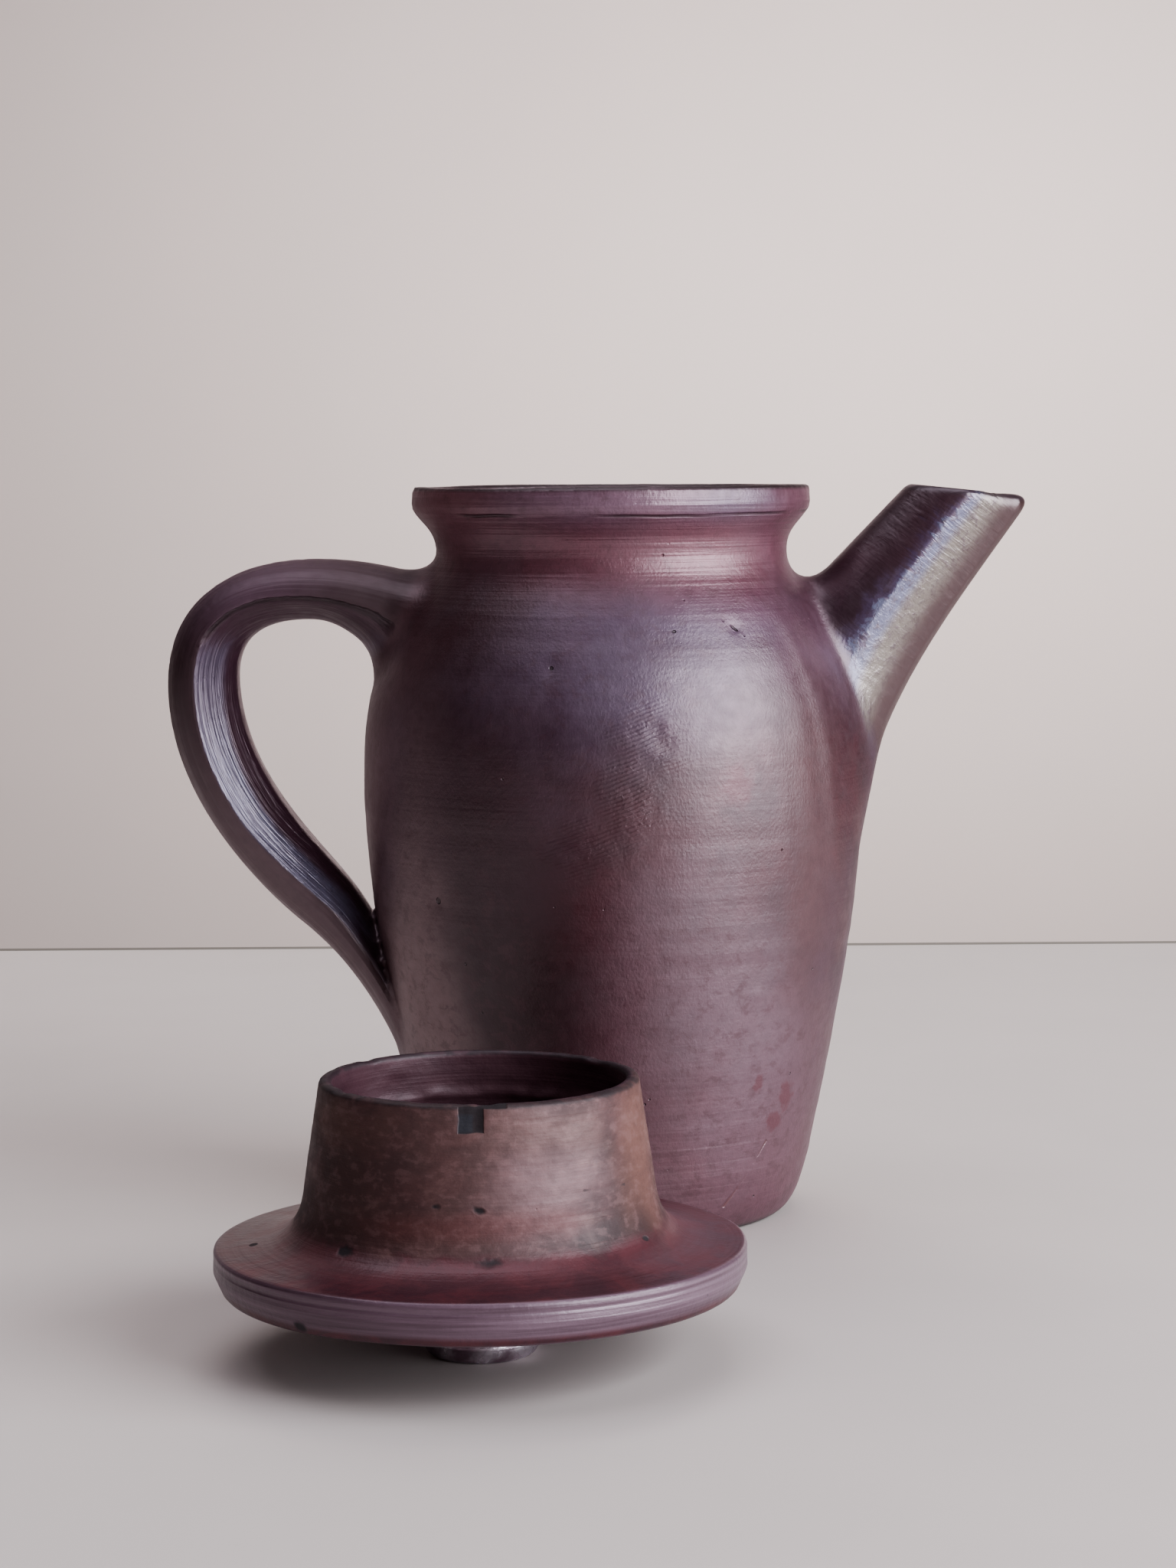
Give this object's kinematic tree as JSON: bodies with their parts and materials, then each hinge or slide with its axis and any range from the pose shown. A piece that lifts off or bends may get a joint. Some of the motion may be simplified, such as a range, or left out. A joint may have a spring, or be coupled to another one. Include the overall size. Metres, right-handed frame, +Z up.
{
  "type": "ceramic coffee pot",
  "caption": "Hand-thrown coffee pot with a flared mouth, a slanting spout, a pulled loop handle and a separate lid with a deep collar and a knob.",
  "frame": {"origin": "middle of the pot's flat foot, where it stands on the table", "axes": "+Z up along the pot's turning axis, +X towards the spout, -X towards the handle, -Y towards the side where the lid has been set down"},
  "size_m": [0.2353, 0.2898, 0.2],
  "materials": {
    "pot_glaze": "dark aubergine satin glaze with a soft metallic sheen, maroon at the neck and paler mauve low down",
    "lid_clay": "thinly glazed red-brown clay, bare on the collar, with purple-grey glaze on the plate's edge",
    "knob_glaze": "dark glossy glaze"
  },
  "bodies": {
    "pot": {"pot_body": "pot_glaze", "spout": "pot_glaze", "handle": "pot_glaze"},
    "lid": {"lid": "lid_clay", "lid_knob": "knob_glaze"}
  },
  "joints": [
    {"name": "lid_lift", "type": "slide", "parent": "pot", "child": "lid", "axis": [0, 0, 1], "range_m": [0, 0.22]}
  ]
}
